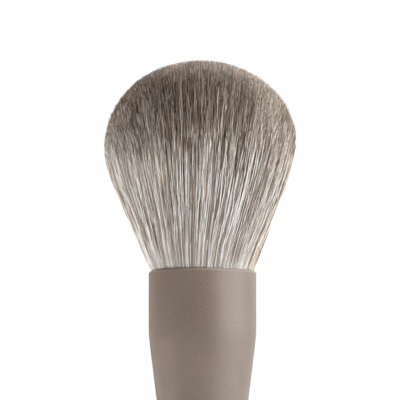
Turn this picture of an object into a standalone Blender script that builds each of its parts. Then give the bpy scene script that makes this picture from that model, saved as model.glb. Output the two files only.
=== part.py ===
"""A large round powder brush, standing upright on the flat foot of its handle.

Metres, +Z up. The origin is the centre of the foot, and the brush's axis is Z.
From the foot up: turned handle, crimped ferrule, and the knot of bristles. The ferrule
holds the knot's resin plug, its rooted slices and the thread that ties it.
"""

import math

import bmesh
import bpy
from mathutils import Vector

# Clearance that neighbouring pieces keep from each other
FIT_GAP = 0.0003

# Handle: a turned hourglass with a tenon at its top
HANDLE_LENGTH = 0.0857
FOOT_RADIUS = 0.0088
FOOT_ROUNDING = 0.0015
WAIST_RADIUS = 0.0068
WAIST_HEIGHT = 0.0400
SHOULDER_ROUNDING = 0.0004
TENON_LENGTH = 0.0115
TENON_CHAMFER = 0.0008

# Ferrule: a drawn tube, straight at the mouth, tapering to a straight seat on the tenon
FERRULE_LENGTH = 0.0420
FERRULE_WALL = 0.0005
MOUTH_RADIUS = 0.0120
STRAIGHT_LENGTH = 0.0143
SEAT_RADIUS = 0.0098
SEAT_LENGTH = 0.0100
TAPER_BEND_RADIUS = 0.036
RIM_ROUNDING = 0.0007
LIP_CURL = 0.0003
LIP_DEPTH = 0.0005

# Two rings rolled into the seat, which lock the ferrule to the tenon
CRIMP_COUNT = 2
CRIMP_DEPTH = 0.0004
CRIMP_WIDTH = 0.0014
CRIMP_PITCH = 0.0032

# Knot: bristles rooted in three slices, one inside the other, on a cast resin plug.
# Lengths of bristle are measured from the ferrule's rim
HAIR_LENGTH = 0.0470
BELLY_RADIUS = 0.0215
BELLY_HEIGHT = 0.0280
FLARE_CURVE = 0.30
ROOT_DEPTH = 0.0105
SLICE_THICKNESS = 0.0025
SLICE_MARGIN = 0.0002
RESIN_THICKNESS = 0.0060
RESIN_DISH = 0.0012

# Thread wound round the rooted slices
THREAD_THICKNESS = 0.0007
THREAD_TURNS = 3

# Bristles: rings of three-sided strands round one strand on the axis. A fill is the
# strand's size as a share of the pitch between rings
RING_COUNT = 10
CORE_RINGS = 4
MIDDLE_RINGS = 7
STRANDS_PER_RING_STEP = 5.6
ROOT_FILL = 0.34
BELLY_FILL = 0.47
TIP_FILL = 0.20
CURVED_RINGS = 2
STRAND_BITE = 0.0008
TIP_OVERHANG = 0.0030
GOLDEN_ANGLE = math.radians(137.508)

# Faces round a turned piece, and steps along a rounded corner or half of the handle.
# Points of a line that lie closer together than the merge step are left out
SHOWN_SEGMENTS = 48
HIDDEN_SEGMENTS = 32
CORNER_STEPS = 2
BODY_STEPS = 7
MERGE_STEP = 0.0002

# Heights on the assembled brush, from the foot
FERRULE_TAIL = HANDLE_LENGTH + FIT_GAP
FERRULE_RIM = FERRULE_TAIL + FERRULE_LENGTH

# Heights inside the ferrule, over its tail
SLICE_BOTTOM = FERRULE_LENGTH - ROOT_DEPTH - SLICE_THICKNESS
RESIN_TOP = SLICE_BOTTOM - FIT_GAP
RESIN_BOTTOM = RESIN_TOP - RESIN_THICKNESS

# Radii of the ferrule's bore, of its lip and of the tenon in it
BORE_RADIUS = MOUTH_RADIUS - FERRULE_WALL
LIP_RADIUS = BORE_RADIUS - LIP_CURL
TENON_RADIUS = SEAT_RADIUS - FERRULE_WALL - FIT_GAP


def make_material(name, colour, roughness, metallic=0.0):
    material = bpy.data.materials.new(name)
    material.use_nodes = True
    shader = material.node_tree.nodes["Principled BSDF"]
    shader.inputs["Base Color"].default_value = (*colour, 1.0)
    shader.inputs["Roughness"].default_value = roughness
    shader.inputs["Metallic"].default_value = metallic
    material.diffuse_color = (*colour, 1.0)
    return material


def place(name, mesh, material, height, parent=None):
    """An object on the brush's axis. Height is from the foot, whatever its parent is."""
    mesh.materials.append(material)
    mesh.shade_smooth()
    mesh.set_sharp_from_angle(angle=math.radians(30))
    piece = bpy.data.objects.new(name, mesh)
    bpy.context.scene.collection.objects.link(piece)
    piece.parent = parent
    piece.location.z = height - (parent.location.z if parent else 0.0)
    return piece


def rounded(corners, closed=False):
    """The line through corners of (radius, height, rounding), with an arc at each rounded one."""
    line = []
    count = len(corners)
    for index, (radius, height, rounding) in enumerate(corners):
        corner = Vector((radius, height))
        inner = closed or 0 < index < count - 1
        if not (rounding and inner):
            line.append(corner)
            continue
        back = (Vector(corners[index - 1][:2]) - corner).normalized()
        ahead = (Vector(corners[(index + 1) % count][:2]) - corner).normalized()
        half_angle = back.angle(ahead) / 2
        reach = rounding / math.tan(half_angle)
        centre = corner + (back + ahead).normalized() * rounding / math.sin(half_angle)
        start = corner + back * reach - centre
        turn = start.angle_signed(corner + ahead * reach - centre)
        for step in range(CORNER_STEPS + 1):
            angle = -turn * step / CORNER_STEPS
            across = start.x * math.cos(angle) - start.y * math.sin(angle)
            up = start.x * math.sin(angle) + start.y * math.cos(angle)
            line.append(centre + Vector((across, up)))
    return line


def turned(name, line, segments, closed=False):
    """The line of (radius, height) points spun round Z. Closed joins its last point to its first."""
    shape = bmesh.new()
    points = [shape.verts.new((radius, 0.0, height)) for radius, height in line]
    pairs = list(zip(points, points[1:]))
    if closed:
        pairs.append((points[-1], points[0]))
    edges = [shape.edges.new(pair) for pair in pairs]
    bmesh.ops.spin(
        shape,
        geom=points + edges,
        cent=(0.0, 0.0, 0.0),
        axis=(0.0, 0.0, 1.0),
        angle=math.tau,
        steps=segments,
        use_merge=True,
    )
    bmesh.ops.remove_doubles(shape, verts=shape.verts, dist=1e-7)
    bmesh.ops.recalc_face_normals(shape, faces=shape.faces)
    if shape.calc_volume(signed=True) < 0:
        bmesh.ops.reverse_faces(shape, faces=shape.faces)
    mesh = bpy.data.meshes.new(name)
    shape.to_mesh(mesh)
    shape.free()
    return mesh


def crimp_heights():
    """Heights of the crimp rings over the ferrule's tail, centred on its seat."""
    middle = (CRIMP_COUNT - 1) / 2
    return [SEAT_LENGTH / 2 + (ring - middle) * CRIMP_PITCH for ring in range(CRIMP_COUNT)]


def crimped(radius):
    """Corners up a wall of this radius, with a groove at each crimp ring."""
    corners = []
    for height in crimp_heights():
        corners.append((radius, height - CRIMP_WIDTH / 2, 0.0))
        corners.append((radius - CRIMP_DEPTH, height, CRIMP_DEPTH))
        corners.append((radius, height + CRIMP_WIDTH / 2, 0.0))
    return corners


def make_handle(material):
    """The hourglass body, the shoulder that the ferrule butts on, and the tenon inside it."""
    body = [(0.0, 0.0, 0.0), (FOOT_RADIUS, 0.0, FOOT_ROUNDING)]
    for step in range(1, BODY_STEPS):
        share = step / BODY_STEPS
        ease = (1 + math.cos(math.pi * share)) / 2
        radius = WAIST_RADIUS + (FOOT_RADIUS - WAIST_RADIUS) * ease
        body.append((radius, FOOT_ROUNDING + (WAIST_HEIGHT - FOOT_ROUNDING) * share, 0.0))
    for step in range(BODY_STEPS):
        share = step / BODY_STEPS
        ease = (1 - math.cos(math.pi * share)) / 2
        radius = WAIST_RADIUS + (SEAT_RADIUS - WAIST_RADIUS) * ease
        height = HANDLE_LENGTH - SHOULDER_ROUNDING - WAIST_HEIGHT
        body.append((radius, WAIST_HEIGHT + height * share, 0.0))
    shoulder = [
        (SEAT_RADIUS, HANDLE_LENGTH, SHOULDER_ROUNDING),
        (TENON_RADIUS, HANDLE_LENGTH, 0.0),
    ]
    grooves = [(radius, FERRULE_TAIL + up, bend) for radius, up, bend in crimped(TENON_RADIUS)]
    top = HANDLE_LENGTH + TENON_LENGTH
    end = [
        (TENON_RADIUS, top - TENON_CHAMFER, 0.0),
        (TENON_RADIUS - TENON_CHAMFER, top, 0.0),
        (0.0, top, 0.0),
    ]
    line = rounded(body + shoulder + grooves + end)
    return place("handle", turned("handle", line, SHOWN_SEGMENTS), material, 0.0)


def taper_corners(inset):
    """The corners where the ferrule's taper meets its seat and its straight mouth."""
    bend = TAPER_BEND_RADIUS - inset
    return [
        (SEAT_RADIUS - inset, SEAT_LENGTH, bend),
        (MOUTH_RADIUS - inset, FERRULE_LENGTH - STRAIGHT_LENGTH, bend),
    ]


def bore_line(low, high):
    """The line that a filling keeps to inside the ferrule, from one height over its tail to another."""
    inset = FERRULE_WALL + FIT_GAP
    tail = (SEAT_RADIUS - inset, 0.0, 0.0)
    mouth = (MOUTH_RADIUS - inset, FERRULE_LENGTH, 0.0)
    line = rounded([tail, *taper_corners(inset), mouth])

    def at(height):
        for below, above in zip(line, line[1:]):
            if below.y <= height <= above.y:
                return below.lerp(above, (height - below.y) / (above.y - below.y))
        return line[-1]

    kept = [point for point in line if low + MERGE_STEP < point.y < high - MERGE_STEP]
    return [at(low), *kept, at(high)]


def make_ferrule(material):
    """A tube of one wall thickness, with a rounded rim that curls in over the bristles."""
    outer = [(SEAT_RADIUS, 0.0, 0.0), *crimped(SEAT_RADIUS), *taper_corners(0.0)]
    rim = [
        (MOUTH_RADIUS, FERRULE_LENGTH, RIM_ROUNDING),
        (LIP_RADIUS, FERRULE_LENGTH, 0.0),
        (LIP_RADIUS, FERRULE_LENGTH - LIP_DEPTH, 0.0),
        (BORE_RADIUS, FERRULE_LENGTH - LIP_DEPTH - LIP_CURL, 0.0),
    ]
    seat_bore = SEAT_RADIUS - FERRULE_WALL
    inner = [*reversed(taper_corners(FERRULE_WALL)), *reversed(crimped(seat_bore))]
    line = rounded([*outer, *rim, *inner, (seat_bore, 0.0, 0.0)], closed=True)
    mesh = turned("ferrule", line, SHOWN_SEGMENTS, closed=True)
    return place("ferrule", mesh, material, FERRULE_TAIL)


def make_resin_plug(material, ferrule):
    """Cast in the ferrule under the slices, so it follows the bore. Its underside is dished."""
    side = bore_line(RESIN_BOTTOM, RESIN_TOP)
    half = (side[0].x / 2, RESIN_BOTTOM + RESIN_DISH / 2)
    line = [(0.0, RESIN_BOTTOM + RESIN_DISH), half, *side, (0.0, RESIN_TOP)]
    mesh = turned("resin_plug", line, HIDDEN_SEGMENTS)
    return place("resin_plug", mesh, material, FERRULE_TAIL, ferrule)


# Radii round the rooted slices: the thread lies in the bore, and the slices lie in the thread
THREAD_OUTER_RADIUS = bore_line(SLICE_BOTTOM, FERRULE_LENGTH)[0].x
THREAD_INNER_RADIUS = THREAD_OUTER_RADIUS - THREAD_THICKNESS
SLICE_RADIUS = THREAD_INNER_RADIUS - FIT_GAP

# Spacing of the rings of strands where they leave their slices
ROOT_PITCH = (SLICE_RADIUS - SLICE_MARGIN) / (RING_COUNT + ROOT_FILL)


def make_binding_thread(material, ferrule):
    """Turns of thread side by side round the slices, pressed flat where they touch them."""
    line = [(THREAD_INNER_RADIUS, 0.0)]
    for turn in range(THREAD_TURNS):
        for share, bulge in ((0.0, 0.6), (0.25, 0.95), (0.5, 1.0), (0.75, 0.95)):
            radius = THREAD_INNER_RADIUS + THREAD_THICKNESS * bulge
            line.append((radius, THREAD_THICKNESS * (turn + share)))
    top = THREAD_THICKNESS * THREAD_TURNS
    line.append((THREAD_INNER_RADIUS + THREAD_THICKNESS * 0.6, top))
    line.append((THREAD_INNER_RADIUS, top))
    mesh = turned("binding_thread", line, HIDDEN_SEGMENTS, closed=True)
    return place("binding_thread", mesh, material, FERRULE_TAIL + SLICE_BOTTOM, ferrule)


def ring_radius(height):
    """Radius of the outermost ring's middle line, at a height over the ferrule's rim."""
    root = ROOT_PITCH * RING_COUNT
    mouth = LIP_RADIUS - FIT_GAP - ROOT_PITCH * ROOT_FILL
    belly = BELLY_RADIUS * RING_COUNT / (RING_COUNT + BELLY_FILL)
    if height <= 0.0:
        return root + (mouth - root) * (1 + height / ROOT_DEPTH)
    share = height / BELLY_HEIGHT
    return mouth + (belly - mouth) * share * (1 + FLARE_CURVE - FLARE_CURVE * share)


def dome_radius(height):
    """Radius of the domed top, at a height over the rim."""
    share = (height - BELLY_HEIGHT) / (HAIR_LENGTH - BELLY_HEIGHT)
    return BELLY_RADIUS * math.sqrt(max(0.0, 1 - share * share))


def tip_height(ring_share):
    """Where a strand at this share of the knot's radius meets the dome."""
    low, high = BELLY_HEIGHT, HAIR_LENGTH
    for _ in range(30):
        middle = (low + high) / 2
        if ring_share * ring_radius(middle) < dome_radius(middle):
            low = middle
        else:
            high = middle
    return low


def strand_stations(ring):
    """(radius, height, strand size) along a strand of this ring, from inside its slice to its tip."""
    share = ring / RING_COUNT
    fills = {-ROOT_DEPTH - STRAND_BITE: ROOT_FILL, 0.0: ROOT_FILL, BELLY_HEIGHT: BELLY_FILL}
    if ring > RING_COUNT - CURVED_RINGS:
        fills[BELLY_HEIGHT / 2] = (ROOT_FILL + BELLY_FILL) / 2
    stations = []
    for height in sorted(fills):
        around = ring_radius(max(height, -ROOT_DEPTH))
        stations.append((share * around, height, fills[height] * around / RING_COUNT))
    # The outermost strands bend in a little, over the edge of the dome
    end = tip_height(share) + TIP_OVERHANG * share**4
    size = TIP_FILL * ring_radius(end) / RING_COUNT
    radius = min(share * ring_radius(end), dome_radius(end) - size)
    stations.append((max(radius, 0.0), end, size))
    return stations


def grow_strand(shape, stations, angle):
    """A three-sided strand with a ridge outwards, extruded from station to station."""
    outwards = Vector((math.cos(angle), math.sin(angle), 0.0))
    corners = [angle + math.tau * side / 3 for side in range(3)]
    offsets = [Vector((math.cos(turn), math.sin(turn), 0.0)) for turn in corners]
    radius, height, size = stations[0]
    root = outwards * radius + Vector((0.0, 0.0, height))
    ring = [shape.verts.new(root + offset * size) for offset in offsets]
    shape.faces.new(list(reversed(ring)))
    end = shape.faces.new([shape.verts.new(point.co) for point in ring])
    first = list(end.verts)
    for index in range(3):
        after = (index + 1) % 3
        shape.faces.new((ring[index], ring[after], first[after], first[index]))
    for step, (radius, height, size) in enumerate(stations[1:]):
        if step:
            end = bmesh.ops.extrude_discrete_faces(shape, faces=[end])["faces"][0]
        centre = outwards * radius + Vector((0.0, 0.0, height))
        for point, offset in zip(end.verts, offsets):
            point.co = centre + offset * size


def strands_in_ring(ring):
    """An even number, so that the knot is as wide on one side as on the other."""
    return max(1, 2 * round(STRANDS_PER_RING_STEP * ring / 2))


def make_bristles(name, rings, material, ferrule):
    """Rings of strands rooted in a flat slice, one body with it. Height 0 is the ferrule's rim."""
    first, last = min(rings), max(rings)
    bottom = -ROOT_DEPTH - SLICE_THICKNESS
    # Each slice ends midway between two rings, allowing for the ridge that points outwards
    ridge = ROOT_PITCH * ROOT_FILL / 4
    outer = (last + 0.5) * ROOT_PITCH + ridge - FIT_GAP / 2
    if last == RING_COUNT:
        outer = SLICE_RADIUS
    line = [(outer, bottom), (outer, -ROOT_DEPTH)]
    if first == 0:
        line = [(0.0, bottom), *line, (0.0, -ROOT_DEPTH)]
    else:
        inner = (first - 0.5) * ROOT_PITCH + ridge + FIT_GAP / 2
        line = [(inner, bottom), *line, (inner, -ROOT_DEPTH)]
    mesh = turned(name, line, HIDDEN_SEGMENTS, closed=first > 0)
    slice_piece = place(name, mesh, material, FERRULE_RIM, ferrule)
    shape = bmesh.new()
    for ring in rings:
        stations = strand_stations(ring)
        count = strands_in_ring(ring)
        for index in range(count):
            grow_strand(shape, stations, GOLDEN_ANGLE * ring + math.tau * index / count)
    strand_mesh = bpy.data.meshes.new(name + "_strands")
    shape.to_mesh(strand_mesh)
    shape.free()
    strands = place(name + "_strands", strand_mesh, material, FERRULE_RIM, ferrule)
    strands.hide_render = True
    strands.display_type = "WIRE"
    join = slice_piece.modifiers.new("root the strands", "BOOLEAN")
    join.operation = "UNION"
    join.solver = "EXACT"
    join.object = strands
    return slice_piece


def make_brush():
    lacquer = make_material("taupe_lacquer", (0.262, 0.206, 0.173), 0.55)
    metal_paint = make_material("taupe_ferrule_paint", (0.262, 0.206, 0.173), 0.48)
    resin = make_material("clear_amber_resin", (0.420, 0.300, 0.150), 0.30)
    thread = make_material("cotton_thread", (0.700, 0.670, 0.600), 0.85)
    core_hair = make_material("core_taupe_fibre", (0.165, 0.124, 0.100), 0.60)
    middle_hair = make_material("middle_taupe_fibre", (0.240, 0.190, 0.158), 0.60)
    outer_hair = make_material("outer_silver_taupe_fibre", (0.400, 0.345, 0.300), 0.60)
    make_handle(lacquer)
    ferrule = make_ferrule(metal_paint)
    make_resin_plug(resin, ferrule)
    make_binding_thread(thread, ferrule)
    make_bristles("core_bristles", range(CORE_RINGS + 1), core_hair, ferrule)
    make_bristles("middle_bristles", range(CORE_RINGS + 1, MIDDLE_RINGS + 1), middle_hair, ferrule)
    make_bristles("outer_bristles", range(MIDDLE_RINGS + 1, RING_COUNT + 1), outer_hair, ferrule)


for leftover in list(bpy.data.objects):
    bpy.data.objects.remove(leftover)
make_brush()
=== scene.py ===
"""The powder brush, dressed: combed fibres, a painted ferrule and a lacquered handle.

Metres, +Z up. The brush stands on the floor, and its axis is Z. The fibres are worked out in
millimetres, at heights over the ferrule's rim, and become metres as their meshes are filled.
"""

import math

import bmesh
import bpy
import numpy as np
from mathutils import Matrix, Quaternion, Vector
from mathutils.kdtree import KDTree


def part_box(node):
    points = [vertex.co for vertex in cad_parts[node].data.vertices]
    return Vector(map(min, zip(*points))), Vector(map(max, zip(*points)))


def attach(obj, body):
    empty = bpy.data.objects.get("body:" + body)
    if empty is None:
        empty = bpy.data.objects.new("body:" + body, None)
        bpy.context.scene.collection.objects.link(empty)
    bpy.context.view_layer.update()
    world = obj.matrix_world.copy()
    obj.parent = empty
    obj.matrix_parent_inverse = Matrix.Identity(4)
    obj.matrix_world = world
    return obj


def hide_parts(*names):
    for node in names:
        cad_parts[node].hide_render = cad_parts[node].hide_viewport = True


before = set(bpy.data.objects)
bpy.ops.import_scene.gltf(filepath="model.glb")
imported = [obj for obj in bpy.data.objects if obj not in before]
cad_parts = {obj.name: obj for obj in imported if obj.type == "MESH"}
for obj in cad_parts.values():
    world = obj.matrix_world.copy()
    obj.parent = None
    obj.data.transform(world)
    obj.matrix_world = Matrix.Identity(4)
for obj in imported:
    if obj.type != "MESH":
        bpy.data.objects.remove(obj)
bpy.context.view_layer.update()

scene = bpy.context.scene

MM = 0.001
TAU = math.tau
GOLDEN_ANGLE = math.radians(137.508)
SEED = 4207

# The brush's own sizes, as its solids have them
FIT_GAP = 0.3 * MM
HANDLE_LENGTH = 85.7 * MM
FOOT_RADIUS = 8.8 * MM
FOOT_ROUNDING = 1.5 * MM
WAIST_RADIUS = 6.8 * MM
WAIST_HEIGHT = 40.0 * MM
SHOULDER_ROUNDING = 0.4 * MM
TENON_LENGTH = 11.5 * MM
FERRULE_LENGTH = 42.0 * MM
FERRULE_WALL = 0.5 * MM
MOUTH_RADIUS = 12.0 * MM
STRAIGHT_LENGTH = 14.3 * MM
SEAT_RADIUS = 9.8 * MM
SEAT_LENGTH = 10.0 * MM
TAPER_BEND_RADIUS = 36.0 * MM
RIM_ROUNDING = 0.7 * MM
LIP_RADIUS = 11.2 * MM
LIP_DEPTH = 0.5 * MM
CRIMP_HEIGHTS = (3.4 * MM, 6.6 * MM)
CRIMP_DEPTH = 0.4 * MM
CRIMP_WIDTH = 1.4 * MM
ROOT_DEPTH = 10.5 * MM
SLICE_THICKNESS = 2.5 * MM
SLICE_MARGIN = 0.2 * MM
THREAD_THICKNESS = 0.7 * MM
ROOT_RINGS = 10
CORE_RINGS = 4
MIDDLE_RINGS = 7
ROOT_FILL = 0.34
FERRULE_TAIL = HANDLE_LENGTH + FIT_GAP
FERRULE_RIM = FERRULE_TAIL + FERRULE_LENGTH

# Camera and light

PHOTO_SIDE = 400.0
PIXELS_PER_METRE = 4470.0
AXIS_PIXEL = 202.45
RIM_PIXEL = 271.2
CAMERA_DISTANCE = 0.80
CAMERA_RISE = -5.3
SENSOR_WIDTH = 36.0
BOX_DISTANCE = 0.90
PANEL_REACH = 0.38
PANEL_SIDE = 0.35
PANEL_HEIGHT = 0.012
FLOOR_HALF_WIDTH = 0.85
FLOOR_PAPER = (0.90, 0.90, 0.90)
WHITE_BEHIND = 1.02
WHITE = (1.0, 1.0, 1.0)
WARM_LIGHT = (1.0, 0.980, 0.948)
COOL_LIGHT = (0.955, 0.985, 1.0)


def add_camera():
    """Level with the ferrule and looking up a little, from far away through a long lens."""
    tilt = math.radians(CAMERA_RISE)
    aim_x = (PHOTO_SIDE / 2 - AXIS_PIXEL) / PIXELS_PER_METRE
    aim_z = FERRULE_RIM + (RIM_PIXEL - PHOTO_SIDE / 2) / PIXELS_PER_METRE / math.cos(tilt)
    back = Vector((0.0, -math.cos(tilt), math.sin(tilt)))
    data = bpy.data.cameras.new("camera")
    data.sensor_width = SENSOR_WIDTH
    data.lens = SENSOR_WIDTH * CAMERA_DISTANCE * PIXELS_PER_METRE / PHOTO_SIDE
    data.clip_start = 0.05
    data.clip_end = 20.0
    camera = bpy.data.objects.new("camera", data)
    camera.location = Vector((aim_x, 0.0, aim_z)) + back * CAMERA_DISTANCE
    camera.rotation_mode = "QUATERNION"
    camera.rotation_quaternion = (-back).to_track_quat("-Z", "Y")
    scene.collection.objects.link(camera)
    scene.camera = camera


def away_from_brush(azimuth, elevation=0.0):
    """The way out from the brush. Azimuth 0 is the camera's side, and 90 is to its right."""
    turn, rise = math.radians(azimuth), math.radians(elevation)
    across = math.cos(rise)
    return Vector((math.sin(turn) * across, -math.cos(turn) * across, math.sin(rise)))


def add_area_light(name, width, height, power, colour):
    data = bpy.data.lights.new(name, "AREA")
    data.shape = "RECTANGLE"
    data.size = width
    data.size_y = height
    data.energy = power
    data.color = colour
    light = bpy.data.objects.new(name, data)
    light.rotation_mode = "QUATERNION"
    light.visible_camera = False
    scene.collection.objects.link(light)
    return light


def add_softbox(name, azimuth, elevation, width, height, power, colour):
    """A soft box aimed at the ferrule's rim."""
    light = add_area_light(name, width, height, power, colour)
    away = away_from_brush(azimuth, elevation)
    light.location = Vector((0.0, 0.0, FERRULE_RIM)) + away * BOX_DISTANCE
    light.rotation_quaternion = away.to_track_quat("Z", "Y")


def add_low_panel(name, azimuth, power):
    """A soft panel lying on the floor beside the brush and facing up, as a lit white table does."""
    light = add_area_light(name, PANEL_SIDE, PANEL_SIDE, power, WARM_LIGHT)
    light.location = away_from_brush(azimuth) * PANEL_REACH
    light.location.z = PANEL_HEIGHT
    face_up = Vector((0.0, 0.0, -1.0)).to_track_quat("Z", "Y")
    light.rotation_quaternion = Quaternion((0.0, 0.0, 1.0), math.radians(azimuth)) @ face_up


def add_world():
    """White behind the brush for the camera. The brush's light is left to the soft boxes."""
    world = bpy.data.worlds.new("studio")
    scene.world = world
    world.use_nodes = True
    tree = world.node_tree
    tree.nodes.clear()
    path = add_node(tree, "ShaderNodeLightPath").outputs
    strength = calculate(tree, "MULTIPLY", path["Is Camera Ray"], WHITE_BEHIND)
    seen = add_node(tree, "ShaderNodeBackground", {"Color": (*WHITE, 1.0), "Strength": strength})
    add_node(tree, "ShaderNodeOutputWorld", {"Surface": seen.outputs["Background"]})


def add_floor():
    """A pale floor under the foot."""
    shape = bmesh.new()
    bmesh.ops.create_grid(shape, x_segments=1, y_segments=1, size=FLOOR_HALF_WIDTH)
    mesh = bpy.data.meshes.new("floor")
    shape.to_mesh(mesh)
    shape.free()
    floor = bpy.data.objects.new("floor", mesh)
    scene.collection.objects.link(floor)
    mesh.materials.append(new_material("floor_paper", FLOOR_PAPER, roughness=0.8)[0])


# Materials

FERRULE_TAUPE = (0.218, 0.163, 0.131)
# A painted highlight on the ferrule's rolled rim
FERRULE_RIM_HIGHLIGHT = (0.30, 0.24, 0.20)
HANDLE_TAUPE = (0.221, 0.1645, 0.1325)
COAT_ROUGHNESS = 0.40
COAT_ROUGHNESS_SPREAD = 0.10
COAT_DEPTH = 0.002 * MM
CLOUDS_PER_GRAIN = 0.022
CLOUD_STRENGTH = 0.35

# A fibre's map: brown to silver across it, and up it from under the rim to past the tip
FIBRE_MAP = "OFBake"
FIBRE_MAP_WIDTH = 0.006
MAP_START = -16.0
MAP_LENGTH = 70.0
MAP_MARGIN = 0.002
DYE_START = 0.51
DYE_END = 0.808
ROOT_COLOURS = [
    (0.0, (0.225, 0.159, 0.120)),
    (0.22, (0.480, 0.372, 0.298)),
    (0.50, (0.765, 0.650, 0.557)),
    (0.74, (0.968, 0.925, 0.882)),
    (1.0, (0.988, 1.0, 0.995)),
]
TIP_COLOURS = [
    (0.0, (0.107, 0.074, 0.055)),
    (0.5, (0.318, 0.240, 0.189)),
    (1.0, (0.69, 0.585, 0.505)),
]
FIBRE_TAUPE = (0.40, 0.34, 0.30)
FIBRE_SHINE = 0.05
COOL_ROOT = (0.945, 1.0, 1.04)
COOL_UP_TO = 0.34
THIN_DYE = (1.0, 0.88, 0.76)
# Painted glints along each fibre
PAINTED_GLINT = 0.7
GLINTS_ACROSS = 60.0
GLINTS_ALONG = 28.0

GLUED_ROOT = (0.62, 0.55, 0.47)
ROOT_STRETCH = (1.0, 1.0, 0.02)
AMBER = (0.42, 0.30, 0.15)
COTTON = (0.70, 0.67, 0.60)
PLY_RELIEF = 0.35
PLAIN_SHINE = 0.5


def new_material(name, colour, roughness, shine=PLAIN_SHINE):
    material = bpy.data.materials.new(name)
    material.use_nodes = True
    shader = material.node_tree.nodes["Principled BSDF"]
    shader.inputs["Base Color"].default_value = (*colour, 1.0)
    shader.inputs["Roughness"].default_value = roughness
    shader.inputs["Specular IOR Level"].default_value = shine
    material.diffuse_color = (*colour, 1.0)
    return material, shader


def new_group(name, inputs, outputs):
    """An empty node group with (name, kind, default) inputs and (name, kind) outputs."""
    tree = bpy.data.node_groups.new(name, "ShaderNodeTree")
    for label, kind, default in inputs:
        socket = tree.interface.new_socket(label, in_out="INPUT", socket_type="NodeSocket" + kind)
        socket.default_value = default
    for label, kind in outputs:
        tree.interface.new_socket(label, in_out="OUTPUT", socket_type="NodeSocket" + kind)
    start = tree.nodes.new("NodeGroupInput")
    end = tree.nodes.new("NodeGroupOutput")
    return tree, start.outputs, end.inputs


def add_node(tree, kind, inputs=None, **settings):
    """A node with these settings. Each input is given a value, or another node's output."""
    node = tree.nodes.new(kind)
    for name, value in settings.items():
        setattr(node, name, value)
    for label, value in (inputs or {}).items():
        if isinstance(value, bpy.types.NodeSocket):
            tree.links.new(value, node.inputs[label])
        else:
            node.inputs[label].default_value = value
    return node


def calculate(tree, operation, *values):
    """A sum on numbers and other nodes' outputs."""
    inputs = dict(enumerate(values))
    return add_node(tree, "ShaderNodeMath", inputs, operation=operation).outputs["Value"]


def scaled(tree, colour, factor):
    """A colour made lighter or darker."""
    inputs = {0: colour, "Scale": factor}
    return add_node(tree, "ShaderNodeVectorMath", inputs, operation="SCALE").outputs["Vector"]


def ranged(tree, value, low=0.0, high=1.0, start=0.0, end=1.0, kind="LINEAR"):
    """A value that runs from start to end, made to run from low to high."""
    inputs = {"Value": value, "From Min": start, "From Max": end, "To Min": low, "To Max": high}
    return add_node(tree, "ShaderNodeMapRange", inputs, interpolation_type=kind).outputs["Result"]


def mixed(tree, factor, first, second, kind="MIX"):
    """Two colours mixed, or one multiplied by the other."""
    inputs = {"Factor": factor, "A": first, "B": second}
    node = add_node(tree, "ShaderNodeMix", inputs, data_type="RGBA", blend_type=kind)
    return node.outputs["Result"]


def ramp(tree, value, stops):
    """The colour at a value between (place, colour) stops."""
    node = add_node(tree, "ShaderNodeValToRGB", {"Fac": value})
    band = node.color_ramp.elements
    band[0].position, band[0].color = stops[0][0], (*stops[0][1], 1.0)
    band[1].position, band[1].color = stops[-1][0], (*stops[-1][1], 1.0)
    for position, colour in stops[1:-1]:
        band.new(position).color = (*colour, 1.0)
    return node.outputs["Color"]


def put_out(tree, end, **results):
    for label, result in results.items():
        tree.links.new(result, end[label])


def build_grain_group():
    """The fine tooth of a sprayed matte coat: a speckled colour, a roughness and a bump height."""
    tree, start, end = new_group(
        "sprayed_grain",
        [
            ("Colour", "Color", (*FERRULE_TAUPE, 1.0)),
            ("Grain Size", "Float", 0.2 * MM),
            ("Speckle", "Float", 0.5),
            ("Roughness", "Float", COAT_ROUGHNESS),
            ("Roughness Spread", "Float", COAT_ROUGHNESS_SPREAD),
        ],
        [("Colour", "Color"), ("Roughness", "Float"), ("Height", "Float")],
    )
    where = add_node(tree, "ShaderNodeTexCoord").outputs["Object"]
    grains = calculate(tree, "DIVIDE", 1.0, start["Grain Size"])
    inputs = {"Vector": where, "Scale": grains, "Detail": 3.0, "Roughness": 0.6}
    fine = add_node(tree, "ShaderNodeTexNoise", inputs).outputs["Fac"]
    clouds = calculate(tree, "MULTIPLY", grains, CLOUDS_PER_GRAIN)
    inputs = {"Vector": where, "Scale": clouds, "Detail": 2.0}
    cloudy = add_node(tree, "ShaderNodeTexNoise", inputs).outputs["Fac"]
    both = calculate(tree, "MULTIPLY_ADD", cloudy, CLOUD_STRENGTH, fine)
    uneven = calculate(tree, "SUBTRACT", both, 0.5 + 0.5 * CLOUD_STRENGTH)
    speckle = calculate(tree, "MULTIPLY_ADD", uneven, start["Speckle"], 1.0)
    colour = scaled(tree, start["Colour"], speckle)
    spread = start["Roughness Spread"]
    roughness = calculate(tree, "MULTIPLY_ADD", uneven, spread, start["Roughness"])
    put_out(tree, end, Colour=colour, Roughness=roughness, Height=fine)
    return tree


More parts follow.
